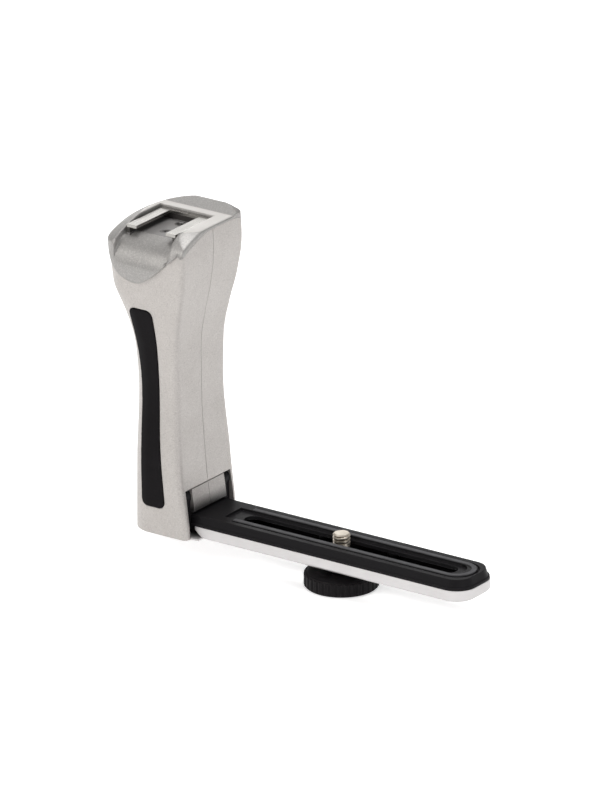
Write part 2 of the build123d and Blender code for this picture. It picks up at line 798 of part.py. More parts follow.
os.makedirs("parts", exist_ok=True)
front_grip = grip_pad()
shell_half = plain_half()
write("handle_shell_rear", shell_rear(shell_half))
write("handle_shell_front", shell_front(shell_half))
write("base_plate", base_plate())
write("base_screws", *[base_screw(side, 0) for side in (-1, 1)])
write("shell_screws", *[shell_screw(height, 0, 0) for height in shell_screw_heights])
write("grip_pad_rear", mirror(front_grip, Plane.XZ))
write("grip_pad_front", front_grip)
write("head_cap", head_cap())
write("accessory_shoe", accessory_shoe())
write("shoe_screws", *[shoe_screw(side, 0) for side in (-1, 1)])
write("hinge_block", hinge_block())
write("hinge_pin", rod_y(pivot_x, pivot_height, pin_radius, -pin_half_length, pin_half_length))
write("hinge_washers", *hinge_washers())
write("arm_body", arm_body())
write("arm_tray", arm_tray())
write("slot_liner", slot_liner())
write("arm_screws", *[arm_screw(place, 0) for place in arm_screw_places()])
write("seat_ridge", seat_ridge(0, body_top - pad_sunk, pad_height))
write("camera_screw", camera_screw())
write("retaining_ring", washer(ring_radius, ring_neck + thread_gap, ring_low, ring_thick))
write("slide_washer", slide_washer())
washer_hole = shank_radius + pin_gap
write("thrust_washer", washer(thrust_washer_radius, washer_hole, knob_top, thrust_washer_thick))
write("knob", knob())
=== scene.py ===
import math

import bmesh
import bpy
from mathutils import Matrix, Vector


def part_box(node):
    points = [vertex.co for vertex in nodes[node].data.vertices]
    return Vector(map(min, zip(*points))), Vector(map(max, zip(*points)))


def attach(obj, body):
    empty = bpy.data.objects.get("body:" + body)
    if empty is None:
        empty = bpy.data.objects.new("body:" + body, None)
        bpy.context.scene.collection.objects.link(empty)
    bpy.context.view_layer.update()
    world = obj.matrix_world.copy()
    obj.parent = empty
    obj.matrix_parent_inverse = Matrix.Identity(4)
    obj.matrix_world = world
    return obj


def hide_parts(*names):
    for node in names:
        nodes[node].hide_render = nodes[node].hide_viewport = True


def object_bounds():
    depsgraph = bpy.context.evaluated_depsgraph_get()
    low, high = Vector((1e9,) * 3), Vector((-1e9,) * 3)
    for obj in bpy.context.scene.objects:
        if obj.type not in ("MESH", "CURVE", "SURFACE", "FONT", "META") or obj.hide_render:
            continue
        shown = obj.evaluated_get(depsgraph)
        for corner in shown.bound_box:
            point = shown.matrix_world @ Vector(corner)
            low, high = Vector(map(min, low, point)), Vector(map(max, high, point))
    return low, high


# Camera flash bracket: a painted grip handle with a shoe on its head, and a hinged slotted arm.
# Every length is in metres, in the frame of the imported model.

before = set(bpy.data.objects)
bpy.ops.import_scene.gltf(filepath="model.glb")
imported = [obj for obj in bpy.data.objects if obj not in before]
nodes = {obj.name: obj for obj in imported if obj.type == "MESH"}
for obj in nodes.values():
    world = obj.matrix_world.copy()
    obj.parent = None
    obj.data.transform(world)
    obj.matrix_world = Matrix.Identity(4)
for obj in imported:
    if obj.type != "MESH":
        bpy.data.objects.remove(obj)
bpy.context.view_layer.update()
mm = 0.001


# Small helpers

def linearColour(hexCode):
    # sRGB hex to the linear colour that Blender's sockets take
    channels = []
    for at in (0, 2, 4):
        value = int(hexCode[at:at + 2], 16) / 255
        channels.append(value / 12.92 if value <= 0.04045 else ((value + 0.055) / 1.055) ** 2.4)
    return (*channels, 1.0)


def addNode(tree, kind, settings=None, inputs=None):
    # one node with its settings; an input is a plain value or another node's output socket
    node = tree.nodes.new(kind)
    for name, value in (settings or {}).items():
        setattr(node, name, value)
    for name, value in (inputs or {}).items():
        if isinstance(value, bpy.types.NodeSocket):
            tree.links.new(value, node.inputs[name])
        else:
            node.inputs[name].default_value = value
    return node


def emptyMaterial(name):
    material = bpy.data.materials.new(name)
    material.use_nodes = True
    material.node_tree.nodes.clear()
    return material, material.node_tree


def perMetre(sizeInMm):
    # a texture's scale, from the real size of one grain or cell in millimetres
    return 1.0 / (sizeInMm * mm)


def showShader(tree, shader):
    addNode(tree, "ShaderNodeOutputMaterial", {}, {"Surface": shader.outputs[0]})


def levelsFrom(tree, noise, low, high):
    # a number that follows a noise from one level to another; a noise seldom leaves 0.3 to 0.7
    return addNode(tree, "ShaderNodeMapRange", {},
                   {"Value": noise.outputs["Fac"], "From Min": 0.3, "From Max": 0.7,
                    "To Min": low, "To Max": high})


def wornAndLitEdges(tree, bevel, wearAndLight, breakUp):
    # a mask along the edges, where the bevelled normal leaves the true one, broken up by a noise,
    # for worn edges and the cap's painted highlight; the levels give the two normals' product where it
    # begins and where it is full, and its most
    surface = addNode(tree, "ShaderNodeNewGeometry")
    atEdge = addNode(tree, "ShaderNodeVectorMath", {"operation": "DOT_PRODUCT"},
                     {0: bevel.outputs[0], 1: surface.outputs["Normal"]})
    worn = addNode(tree, "ShaderNodeMapRange", {},
                   {"Value": atEdge.outputs["Value"], "From Min": wearAndLight[0], "From Max": wearAndLight[1],
                    "To Min": 0.0, "To Max": wearAndLight[2]})
    return addNode(tree, "ShaderNodeMath", {"operation": "MULTIPLY"},
                   {0: worn.outputs[0], 1: breakUp.outputs["Fac"]})


def heightMask(tree, place, middleInMm, halfInMm, fadeInMm):
    # one within half a band of heights, fading to nothing beyond it
    spot = addNode(tree, "ShaderNodeSeparateXYZ", {}, {0: place})
    offset = addNode(tree, "ShaderNodeMath", {"operation": "SUBTRACT"},
                     {0: spot.outputs["Z"], 1: middleInMm * mm})
    away = addNode(tree, "ShaderNodeMath", {"operation": "ABSOLUTE"}, {0: offset.outputs[0]})
    return addNode(tree, "ShaderNodeMapRange", {},
                   {"Value": away.outputs[0], "From Min": halfInMm * mm,
                    "From Max": (halfInMm + fadeInMm) * mm, "To Min": 1.0, "To Max": 0.0})


# Silver paint over moulded ABS

paint = {
    "shellColour": "C4BFBB",      # warm grey of the two shells
    "capColour": "A3A19F",        # the cap is a touch cooler and darker
    "blockColour": "A9A4A1",      # the hinge block sits in the shells' shade
    "flakeLight": "E4E1DD",
    "flakeDark": "8E8A87",
    "flakeSize": 0.34,            # mm; real flakes are about 0.04, drawn coarser so that they show
    "flakeMost": 0.34,            # how much the brightest flake shows
    "flakeDepth": 0.03,           # mm
    "orangePeelSize": 1.6,        # mm between the paint's soft waves
    "orangePeelDepth": 0.02,      # mm
    "dustSize": 9.0,              # mm, faint handling marks
    "metallic": 0.45,
    "roughness": (0.37, 0.49),    # least and most
    "coat": 0.15,
    "coatRoughness": 0.3,
    "edgeRadius": 0.35,           # mm, moulded edges are never sharp
    "capEdgeRadius": 1.3,         # mm, the cap's are rounder still, which widens its painted edge highlight
    # how the edges lighten: worn paint, and a painted highlight on the cap's broad edges
    "edgeWearAndLight": (0.995, 0.86, 0.45),
    # bands of painted highlight and painted shade: colour, then the middle, half and fade of their
    # heights in mm
    "capTopHighlight": ("D6D3CF", 107.5, 0.08, 0.02),       # painted highlight on the level top
    "blockFootShade": ("161516", -4.0, 5.4, 4.0),       # painted shade, darkest beside the black arm
    # how much of the painted highlight and painted shade shows
    "paintedLightMix": 0.9,
}


def silverPaintOnAbs(name, baseHex, edgeInMm, zone=()):
    # sprayed metallic lacquer on moulded ABS: satin, sparkling up close, with a slight orange peel
    material, tree = emptyMaterial(name)
    place = addNode(tree, "ShaderNodeTexCoord").outputs["Object"]
    flakes = addNode(tree, "ShaderNodeTexVoronoi", {"feature": "F1"},
                     {"Vector": place, "Scale": perMetre(paint["flakeSize"])})
    flakeTone = addNode(tree, "ShaderNodeSeparateColor", {}, {"Color": flakes.outputs["Color"]})
    sparkle = addNode(tree, "ShaderNodeMapRange", {},
                      {"Value": flakeTone.outputs[0], "From Min": 0.0, "From Max": 1.0,
                       "To Min": 0.0, "To Max": paint["flakeMost"]})
    flakeMix = addNode(tree, "ShaderNodeMix", {"data_type": "RGBA"},
                       {0: flakeTone.outputs[1], 6: linearColour(paint["flakeDark"]),
                        7: linearColour(paint["flakeLight"])})
    bodyColour = addNode(tree, "ShaderNodeMix", {"data_type": "RGBA"},
                         {0: sparkle.outputs[0], 6: linearColour(baseHex), 7: flakeMix.outputs[2]})
    handling = addNode(tree, "ShaderNodeTexNoise", {},
                       {"Vector": place, "Scale": perMetre(paint["dustSize"]), "Detail": 5.0})
    roughness = levelsFrom(tree, handling, *paint["roughness"])
    bevel = addNode(tree, "ShaderNodeBevel", {"samples": 6}, {"Radius": edgeInMm * mm})
    # lighter along the edges: worn paint, and a painted highlight on the cap's broad edges
    wornAndLit = wornAndLitEdges(tree, bevel, paint["edgeWearAndLight"], handling)
    colour = addNode(tree, "ShaderNodeMix", {"data_type": "RGBA"},
                     {0: wornAndLit.outputs[0], 6: bodyColour.outputs[2],
                      7: linearColour(paint["flakeLight"])})
    # painted highlight on the cap's level top, and painted shade on the hinge block's foot, by height
    if zone:
        zoneHex, *zoneHeights = zone
        inZone = heightMask(tree, place, *zoneHeights)
        zoneShare = addNode(tree, "ShaderNodeMath", {"operation": "MULTIPLY"},
                            {0: inZone.outputs[0], 1: paint["paintedLightMix"]})
        colour = addNode(tree, "ShaderNodeMix", {"data_type": "RGBA"},
                         {0: zoneShare.outputs[0], 6: colour.outputs[2], 7: linearColour(zoneHex)})
    peel = addNode(tree, "ShaderNodeTexNoise", {},
                   {"Vector": place, "Scale": perMetre(paint["orangePeelSize"]), "Detail": 2.0})
    peelBump = addNode(tree, "ShaderNodeBump", {},
                       {"Strength": 0.5, "Distance": paint["orangePeelDepth"] * mm,
                        "Height": peel.outputs["Fac"], "Normal": bevel.outputs[0]})
    flakeBump = addNode(tree, "ShaderNodeBump", {},
                        {"Strength": 0.35, "Distance": paint["flakeDepth"] * mm,
                         "Height": flakeTone.outputs[2], "Normal": peelBump.outputs[0]})
    shader = addNode(tree, "ShaderNodeBsdfPrincipled", {},
                     {"Base Color": colour.outputs[2], "Metallic": paint["metallic"],
                      "Roughness": roughness.outputs[0], "Coat Weight": paint["coat"],
                      "Coat Roughness": paint["coatRoughness"], "Normal": flakeBump.outputs[0]})
    showShader(tree, shader)
    return material


# Pale blasted aluminium of the tray and base plate

paleMetal = {
    "colour": "E6E4E4",
    "shadeColour": "CFCCCC",
    "gritSize": 0.3,              # mm; the real blast grit is 0.1, drawn coarser so that it shows
    "cloudSize": 14.0,            # mm, faint clouds in the anodised skin
    "gritDepth": 0.02,            # mm
    "metallic": 0.55,
    "roughness": (0.39, 0.53),    # least and most
    "edgeRadius": 0.25,           # mm
    "insideShadeColour": "111012",     # painted shade: the tray is near-black within its walls
    "insideHalf": 10.2,           # mm from the arm's middle to the walls
    "insideFloor": -6.95,         # mm, just under the top of the tray's floor
    "insideEnd": 54.0,            # mm along the arm, where the tip's round begins
}


def blastedAluminium(name):
    # bead-blasted and clear-anodised aluminium: pale, even, with a fine dry grain; near-black within
    # its walls as painted shade
    material, tree = emptyMaterial(name)
    place = addNode(tree, "ShaderNodeTexCoord").outputs["Object"]
    grit = addNode(tree, "ShaderNodeTexNoise", {},
                   {"Vector": place, "Scale": perMetre(paleMetal["gritSize"]), "Detail": 3.0})
    clouds = addNode(tree, "ShaderNodeTexNoise", {},
                     {"Vector": place, "Scale": perMetre(paleMetal["cloudSize"]), "Detail": 4.0})
    colour = addNode(tree, "ShaderNodeMix", {"data_type": "RGBA"},
                     {0: clouds.outputs["Fac"], 6: linearColour(paleMetal["shadeColour"]),
                      7: linearColour(paleMetal["colour"])})
    # painted shade: near-black between the walls, above the floor and short of the tip's round
    spot = addNode(tree, "ShaderNodeSeparateXYZ", {}, {0: place})
    across = addNode(tree, "ShaderNodeMath", {"operation": "ABSOLUTE"}, {0: spot.outputs["Y"]})
    between = addNode(tree, "ShaderNodeMath", {"operation": "LESS_THAN"},
                      {0: across.outputs[0], 1: paleMetal["insideHalf"] * mm})
    above = addNode(tree, "ShaderNodeMath", {"operation": "GREATER_THAN"},
                    {0: spot.outputs["Z"], 1: paleMetal["insideFloor"] * mm})
    short = addNode(tree, "ShaderNodeMath", {"operation": "LESS_THAN"},
                    {0: spot.outputs["X"], 1: paleMetal["insideEnd"] * mm})
    walled = addNode(tree, "ShaderNodeMath", {"operation": "MULTIPLY"},
                     {0: between.outputs[0], 1: above.outputs[0]})
    insideShade = addNode(tree, "ShaderNodeMath", {"operation": "MULTIPLY"},
                     {0: walled.outputs[0], 1: short.outputs[0]})
    colour = addNode(tree, "ShaderNodeMix", {"data_type": "RGBA"},
                     {0: insideShade.outputs[0], 6: colour.outputs[2],
                      7: linearColour(paleMetal["insideShadeColour"])})
    roughness = levelsFrom(tree, grit, *paleMetal["roughness"])
    bevel = addNode(tree, "ShaderNodeBevel", {"samples": 6},
                    {"Radius": paleMetal["edgeRadius"] * mm})
    bump = addNode(tree, "ShaderNodeBump", {},
                   {"Strength": 0.5, "Distance": paleMetal["gritDepth"] * mm,
                    "Height": grit.outputs["Fac"], "Normal": bevel.outputs[0]})
    shader = addNode(tree, "ShaderNodeBsdfPrincipled", {},
                     {"Base Color": colour.outputs[2], "Metallic": paleMetal["metallic"],
                      "Roughness": roughness.outputs[0], "Normal": bump.outputs[0]})
    showShader(tree, shader)
    return material


# Bright nickel-plated sheet of the shoe, and plain zinc-plated steel of the fasteners

steel = {
    "nickelColour": "B6B4B0",
    "nickelShade": "9C9A96",
    "floorColour": "A5A3A2",      # the shoe's floor is left matt
    "wallShadeAndStainColour": "5A5856",       # painted shade on its walls under the lips, which are also matt; the shoe screws take it as their darker tone
    "floorHeight": 103.32,        # mm, where the walls rise from the floor
    "lipHeight": 105.38,          # mm, underside of the lips
    "zincColour": "BDBBB6",
    "zincShade": "9A9892",
    "brushLength": 9.0,           # mm, along the rolling direction
    "brushWidth": 0.16,           # mm between brush marks
    "brushDepth": 0.01,           # mm
    "stainSize": 5.0,             # mm, faint clouds in the plating
    "nickelRoughness": 0.28,
    "zincRoughness": 0.36,
    "mattRoughness": 0.55,
    "roughnessBelow": 0.06,       # how far the brushing takes the roughness down
    "roughnessAbove": 0.08,       # and up
    "zoneFade": 0.05,             # mm
    "edgeRadius": 0.18,           # mm
}


def platedSteel(name, brightHex, shadeHex, roughnessLevel, matt=()):
    # rolled, brushed and plated sheet steel: bright streaks along Y that catch the lamps; each
    # matt zone reaches up to a height in mm and has a colour of its own; the shoe's walls get painted
    # shade
    material, tree = emptyMaterial(name)
    place = addNode(tree, "ShaderNodeTexCoord").outputs["Object"]
    across = perMetre(steel["brushWidth"])
    along = perMetre(steel["brushLength"])
    drawn = addNode(tree, "ShaderNodeVectorMath", {"operation": "MULTIPLY"},
                    {0: place, 1: (across, along, across)})
    brush = addNode(tree, "ShaderNodeTexNoise", {},
                    {"Vector": drawn.outputs[0], "Scale": 1.0, "Detail": 3.0})
    stain = addNode(tree, "ShaderNodeTexNoise", {},
                    {"Vector": place, "Scale": perMetre(steel["stainSize"]), "Detail": 4.0})
    tone = addNode(tree, "ShaderNodeMix", {"data_type": "RGBA"},
                   {0: stain.outputs["Fac"], 6: linearColour(shadeHex), 7: linearColour(brightHex)})
    roughness = levelsFrom(tree, brush, roughnessLevel - steel["roughnessBelow"],
                           roughnessLevel + steel["roughnessAbove"])
    height = addNode(tree, "ShaderNodeSeparateXYZ", {}, {0: place}).outputs["Z"]
    # the shoe's matt band under the lips is painted shade; its floor is matt
    for top, zoneHex in matt:
        inZone = addNode(tree, "ShaderNodeMapRange", {},
                         {"Value": height, "From Min": top * mm,
                          "From Max": (top + steel["zoneFade"]) * mm, "To Min": 1.0, "To Max": 0.0})
        tone = addNode(tree, "ShaderNodeMix", {"data_type": "RGBA"},
                       {0: inZone.outputs[0], 6: tone.outputs[2], 7: linearColour(zoneHex)})
        roughness = addNode(tree, "ShaderNodeMix", {"data_type": "FLOAT"},
                            {0: inZone.outputs[0], 2: roughness.outputs[0], 3: steel["mattRoughness"]})
    bevel = addNode(tree, "ShaderNodeBevel", {"samples": 6}, {"Radius": steel["edgeRadius"] * mm})
    bump = addNode(tree, "ShaderNodeBump", {},
                   {"Strength": 0.3, "Distance": steel["brushDepth"] * mm,
                    "Height": brush.outputs["Fac"], "Normal": bevel.outputs[0]})
    shader = addNode(tree, "ShaderNodeBsdfPrincipled", {},
                     {"Base Color": tone.outputs[2], "Metallic": 1.0,
                      "Roughness": roughness.outputs[0], "Normal": bump.outputs[0]})
    showShader(tree, shader)
    return material


# Turned steel of the camera screw

turned = {
    "colour": "EEE6DA",
    "shade": "CFC5B6",
    "rootShadeColour": "4A4238",       # painted shade in the thread's roots
    "rootRadius": 2.55,           # mm from the axis
    "crestRadius": 2.85,
    "rootShadeMiddle": -0.25,          # mm, half way up the thread
    "rootShadeHalf": 1.9,
    "rootShadeFade": 0.1,
    "toolMark": 0.12,             # mm between turning marks up the screw
    "toolSweep": 3.0,             # mm, their length round it
    "toolDepth": 0.01,            # mm
    "grimeSize": 1.4,             # mm
    "roughness": (0.28, 0.46),    # least and most
}


def turnedSteel(name):
    # free-cutting steel, turned and nickel plated: warm, with fine rings from the tool, and painted
    # shade in the thread's roots
    material, tree = emptyMaterial(name)
    place = addNode(tree, "ShaderNodeTexCoord").outputs["Object"]
    drawn = addNode(tree, "ShaderNodeVectorMath", {"operation": "MULTIPLY"},
                    {0: place, 1: (perMetre(turned["toolSweep"]), perMetre(turned["toolSweep"]),
                                   perMetre(turned["toolMark"]))})
    marks = addNode(tree, "ShaderNodeTexNoise", {},
                    {"Vector": drawn.outputs[0], "Scale": 1.0, "Detail": 2.0})
    grime = addNode(tree, "ShaderNodeTexNoise", {},
                    {"Vector": place, "Scale": perMetre(turned["grimeSize"]), "Detail": 4.0})
    tone = addNode(tree, "ShaderNodeMix", {"data_type": "RGBA"},
                   {0: grime.outputs["Fac"], 6: linearColour(turned["shade"]),
                    7: linearColour(turned["colour"])})
    flat = addNode(tree, "ShaderNodeVectorMath", {"operation": "MULTIPLY"}, {0: place, 1: (1, 1, 0)})
    fromAxis = addNode(tree, "ShaderNodeVectorMath", {"operation": "LENGTH"}, {0: flat.outputs[0]})
    # painted shade: darker in the thread's roots, along the threaded length only
    inRoot = addNode(tree, "ShaderNodeMapRange", {},
                     {"Value": fromAxis.outputs["Value"], "From Min": turned["rootRadius"] * mm,
                      "From Max": turned["crestRadius"] * mm, "To Min": 1.0, "To Max": 0.0})
    onThread = heightMask(tree, place, turned["rootShadeMiddle"], turned["rootShadeHalf"],
                          turned["rootShadeFade"])
    rootShade = addNode(tree, "ShaderNodeMath", {"operation": "MULTIPLY"},
                   {0: inRoot.outputs[0], 1: onThread.outputs[0]})
    colour = addNode(tree, "ShaderNodeMix", {"data_type": "RGBA"},
                     {0: rootShade.outputs[0], 6: tone.outputs[2],
                      7: linearColour(turned["rootShadeColour"])})
    roughness = levelsFrom(tree, marks, *turned["roughness"])
    bump = addNode(tree, "ShaderNodeBump", {},
                   {"Strength": 0.3, "Distance": turned["toolDepth"] * mm,
                    "Height": marks.outputs["Fac"]})
    shader = addNode(tree, "ShaderNodeBsdfPrincipled", {},
                     {"Base Color": colour.outputs[2], "Metallic": 1.0,
                      "Roughness": roughness.outputs[0], "Normal": bump.outputs[0]})
    showShader(tree, shader)
    return material


# Black moulded plastics: the arm's body, its liner and washer, and the knob

blackPlastic = {
    "armColour": "1C1B1D",
    "armWorn": "3C3A3B",
    "linerColour": "121113",
    "knobColour": "161416",
    "knobWorn": "4A4644",
    "gloss": 0.1,                 # 0.5 is a polished plastic's; the fine grain breaks it up
    "sparkSize": 0.32,            # mm, the grain that spark erosion leaves in a mould
    "sparkDepth": 0.03,           # mm
    "flowSize": 22.0,             # mm, faint flow clouds
    "scuffSize": 2.2,             # mm
    "armRoughness": 0.45,
    "smallRoughness": 0.5,        # of the liner, the washer and the knob
    "roughnessSwing": 0.06,
    "refraction": 1.53,
    "edgeRadius": 0.3,            # mm
    "edgeWearAndLight": (0.99, 0.84, 0.9),
}


def mouldedBlackAbs(name, baseHex, wornHex, roughnessLevel):
    # black ABS from a spark-eroded mould: satin, finely grained, greyer where edges are rubbed
    material, tree = emptyMaterial(name)
    place = addNode(tree, "ShaderNodeTexCoord").outputs["Object"]
    grain = addNode(tree, "ShaderNodeTexVoronoi", {"feature": "SMOOTH_F1"},
                    {"Vector": place, "Scale": perMetre(blackPlastic["sparkSize"])})
    clouds = addNode(tree, "ShaderNodeTexNoise", {},
                     {"Vector": place, "Scale": perMetre(blackPlastic["flowSize"]), "Detail": 5.0})
    scuffs = addNode(tree, "ShaderNodeTexNoise", {},
                     {"Vector": place, "Scale": perMetre(blackPlastic["scuffSize"]), "Detail": 5.0})
    bevel = addNode(tree, "ShaderNodeBevel", {"samples": 6},
                    {"Radius": blackPlastic["edgeRadius"] * mm})
    wornAndLit = wornAndLitEdges(tree, bevel, blackPlastic["edgeWearAndLight"], scuffs)
    colour = addNode(tree, "ShaderNodeMix", {"data_type": "RGBA"},
                     {0: wornAndLit.outputs[0], 6: linearColour(baseHex), 7: linearColour(wornHex)})
    roughness = levelsFrom(tree, clouds, roughnessLevel - blackPlastic["roughnessSwing"],
                           roughnessLevel + blackPlastic["roughnessSwing"])
    bump = addNode(tree, "ShaderNodeBump", {},
                   {"Strength": 0.5, "Distance": blackPlastic["sparkDepth"] * mm,
                    "Height": grain.outputs["Distance"], "Normal": bevel.outputs[0]})
    shader = addNode(tree, "ShaderNodeBsdfPrincipled", {},
                     {"Base Color": colour.outputs[2], "Metallic": 0.0,
                      "IOR": blackPlastic["refraction"],
                      "Specular IOR Level": blackPlastic["gloss"],
                      "Roughness": roughness.outputs[0], "Normal": bump.outputs[0]})
    showShader(tree, shader)
    return material


# Soft rubbers: the grips and the ridge that the camera sits on

rubber = {
    "gripColour": "131113",
    "gripDust": "242124",
    "ridgeColour": "58585A",
    "ridgeDust": "78787A",
    "gloss": 0.1,
    "pebbleSize": 0.55,           # mm, the leathery grain of the grips
    "ridgeGrain": 0.3,            # mm
    "grainDepth": 0.06,           # mm
    "dustSize": 7.0,              # mm
    "dustMost": 0.5,
    "gripRoughness": (0.57, 0.7),      # least and most
    "ridgeRoughness": (0.65, 0.78),
    "refraction": 1.5,
}


def softRubber(name, baseHex, dustHex, roughnessLevels, grainInMm):
    # moulded thermoplastic rubber: dull, slightly dusty, with a fine pebbled skin
    material, tree = emptyMaterial(name)
    place = addNode(tree, "ShaderNodeTexCoord").outputs["Object"]
    pebbles = addNode(tree, "ShaderNodeTexVoronoi", {"feature": "SMOOTH_F1"},
                      {"Vector": place, "Scale": perMetre(grainInMm)})
    dust = addNode(tree, "ShaderNodeTexNoise", {},
                   {"Vector": place, "Scale": perMetre(rubber["dustSize"]), "Detail": 6.0})
    dustAmount = addNode(tree, "ShaderNodeMapRange", {},
                         {"Value": dust.outputs["Fac"], "From Min": 0.42, "From Max": 0.8,
                          "To Min": 0.0, "To Max": rubber["dustMost"]})
    colour = addNode(tree, "ShaderNodeMix", {"data_type": "RGBA"},
                     {0: dustAmount.outputs[0], 6: linearColour(baseHex), 7: linearColour(dustHex)})
    roughness = levelsFrom(tree, dust, *roughnessLevels)
    bump = addNode(tree, "ShaderNodeBump", {},
                   {"Strength": 0.6, "Distance": rubber["grainDepth"] * mm,
                    "Height": pebbles.outputs["Distance"]})
    shader = addNode(tree, "ShaderNodeBsdfPrincipled", {},
                     {"Base Color": colour.outputs[2], "Metallic": 0.0,
                      "IOR": rubber["refraction"],
                      "Specular IOR Level": rubber["gloss"],
                      "Roughness": roughness.outputs[0], "Normal": bump.outputs[0]})
    showShader(tree, shader)
    return material


shellPaint = silverPaintOnAbs("silver_lacquered_abs_shell", paint["shellColour"],
                              paint["edgeRadius"])
# the cap, with a painted highlight on its level top
capPaint = silverPaintOnAbs("silver_lacquered_abs_cap", paint["capColour"],
                            paint["capEdgeRadius"], paint["capTopHighlight"])
# the hinge block, with painted shade at its foot beside the arm
blockPaint = silverPaintOnAbs("silver_lacquered_abs_block", paint["blockColour"],
                              paint["edgeRadius"], paint["blockFootShade"])
trayMetal = blastedAluminium("blasted_anodised_aluminium")
# the shoe, with painted shade on its walls under the lips
shoeMetal = platedSteel("nickel_plated_sheet_steel", steel["nickelColour"], steel["nickelShade"],
                        steel["nickelRoughness"], ((steel["lipHeight"], steel["wallShadeAndStainColour"]),
                                                   (steel["floorHeight"], steel["floorColour"])))
fastenerMetal = platedSteel("zinc_plated_steel", steel["zincColour"], steel["zincShade"],
                            steel["zincRoughness"])
shoeScrewMetal = platedSteel("dulled_steel", steel["floorColour"], steel["wallShadeAndStainColour"],
                             steel["mattRoughness"])
screwMetal = turnedSteel("turned_nickel_plated_steel")
armPlastic = mouldedBlackAbs("moulded_black_abs", blackPlastic["armColour"],
                             blackPlastic["armWorn"], blackPlastic["armRoughness"])
linerPlastic = mouldedBlackAbs("moulded_black_acetal", blackPlastic["linerColour"],
                               blackPlastic["linerColour"], blackPlastic["smallRoughness"])
knobPlastic = mouldedBlackAbs("moulded_black_nylon", blackPlastic["knobColour"],
                              blackPlastic["knobWorn"], blackPlastic["smallRoughness"])
gripRubber = softRubber("moulded_thermoplastic_rubber", rubber["gripColour"],
                        rubber["gripDust"], rubber["gripRoughness"], rubber["pebbleSize"])
ridgeRubber = softRubber("moulded_nitrile_rubber", rubber["ridgeColour"],
                         rubber["ridgeDust"], rubber["ridgeRoughness"], rubber["ridgeGrain"])

nodeFinish = {
    "handle_shell_rear": shellPaint, "handle_shell_front": shellPaint, "head_cap": capPaint,
    "hinge_block": blockPaint, "base_plate": trayMetal, "arm_tray": trayMetal,
    "accessory_shoe": shoeMetal, "hinge_pin": fastenerMetal, "hinge_washers": fastenerMetal,
    "retaining_ring": fastenerMetal, "slide_washer": fastenerMetal,
    "shell_screws": fastenerMetal, "arm_body": armPlastic, "slot_liner": linerPlastic,
    "thrust_washer": linerPlastic, "knob": knobPlastic, "seat_ridge": ridgeRubber,
}
for nodeName, finish in nodeFinish.items():
    mesh = nodes[nodeName].data
    mesh.materials.clear()
    mesh.materials.append(finish)
print("materials made and put on", len(nodeFinish), "nodes")


# Mesh helpers

meshes = {
    "smoothAngle": 32.0,          # degrees; edges sharper than this stay sharp
    "threadAngle": 40.0,
    "weldReach": 0.002 * mm,      # points of the CAD mesh nearer than this are one
}


def meshObject(name, shape, material, smoothAngle=meshes["smoothAngle"]):
    # a new object from a bmesh, shaded smooth except over its sharp edges
    shape.normal_update()
    mesh = bpy.data.meshes.new(name)
    for face in shape.faces:
        face.smooth = True
    for edge in shape.edges:
        if len(edge.link_faces) == 2:
            edge.smooth = edge.calc_face_angle(0.0) < math.radians(smoothAngle)
    shape.to_mesh(mesh)
    shape.free()
    mesh.materials.append(material)
    made = bpy.data.objects.new(name, mesh)
    bpy.context.scene.collection.objects.link(made)
    return made


def turnedShape(rings, segments, radiusAt):
    # closed rings up an axis; rings are heights, and radiusAt gives the radius at a turn and height
    shape = bmesh.new()
    rows = []
    for number, height in enumerate(rings):
        row = []
        for step in range(segments):
            turn = step / segments
            radius = radiusAt(turn, height, number)
            angle = 2 * math.pi * turn
            row.append(shape.verts.new((radius * math.cos(angle), radius * math.sin(angle), height)))
        rows.append(row)
    for low, high in zip(rows, rows[1:]):
        for step in range(segments):
            after = (step + 1) % segments
            shape.faces.new((low[step], low[after], high[after], high[step]))
    shape.faces.new(list(reversed(rows[0])))
    shape.faces.new(rows[-1])
    return shape


def barShape(place, halfSizes):
    # a box about a place, to cut a slot with
    shape = bmesh.new()
    bmesh.ops.create_cube(shape, size=2.0, matrix=place @ Matrix.Diagonal((*halfSizes, 1.0)))
    return shape


def cutWith(target, cutter):
    # takes the cutter out of the target for good
    cut = target.modifiers.new("cut", "BOOLEAN")
    cut.operation = "DIFFERENCE"
    cut.solver = "EXACT"
    cut.object = cutter
    graph = bpy.context.evaluated_depsgraph_get()
    done = bpy.data.meshes.new_from_object(target.evaluated_get(graph))
    target.modifiers.clear()
    target.data = done
    bpy.data.objects.remove(cutter)


# The camera screw, with its real thread

cameraScrew = {
    "segments": 96,
    "pitch": 1.27 * mm,           # twenty turns to the inch
    "threadDepth": 0.7 * mm,
    "threadLow": -2.1 * mm,
    "threadRadius": 3.17 * mm,
    "rootShare": 0.08,            # of the pitch, the flat at the thread's root
    "flankShare": 0.5,            # of the pitch, its two flanks together
    "runIn": 0.8,                 # turns in which the thread fades in
    "tipBevel": 0.55 * mm,
    "neckLow": -5.65 * mm,
    "neckHigh": -4.85 * mm,
    "neckRadius": 2.35 * mm,
    "shankRadius": 3.0 * mm,
    "headTop": -14.6 * mm,
    "headRadius": 4.38 * mm,
    "headBevel": 0.3 * mm,
    "slotWidth": 1.2 * mm,
    "slotDepth": 1.1 * mm,
    "slotReach": 1.2,             # of the head's radius, so that the slot runs right across
    "ringStep": 0.06 * mm,
}


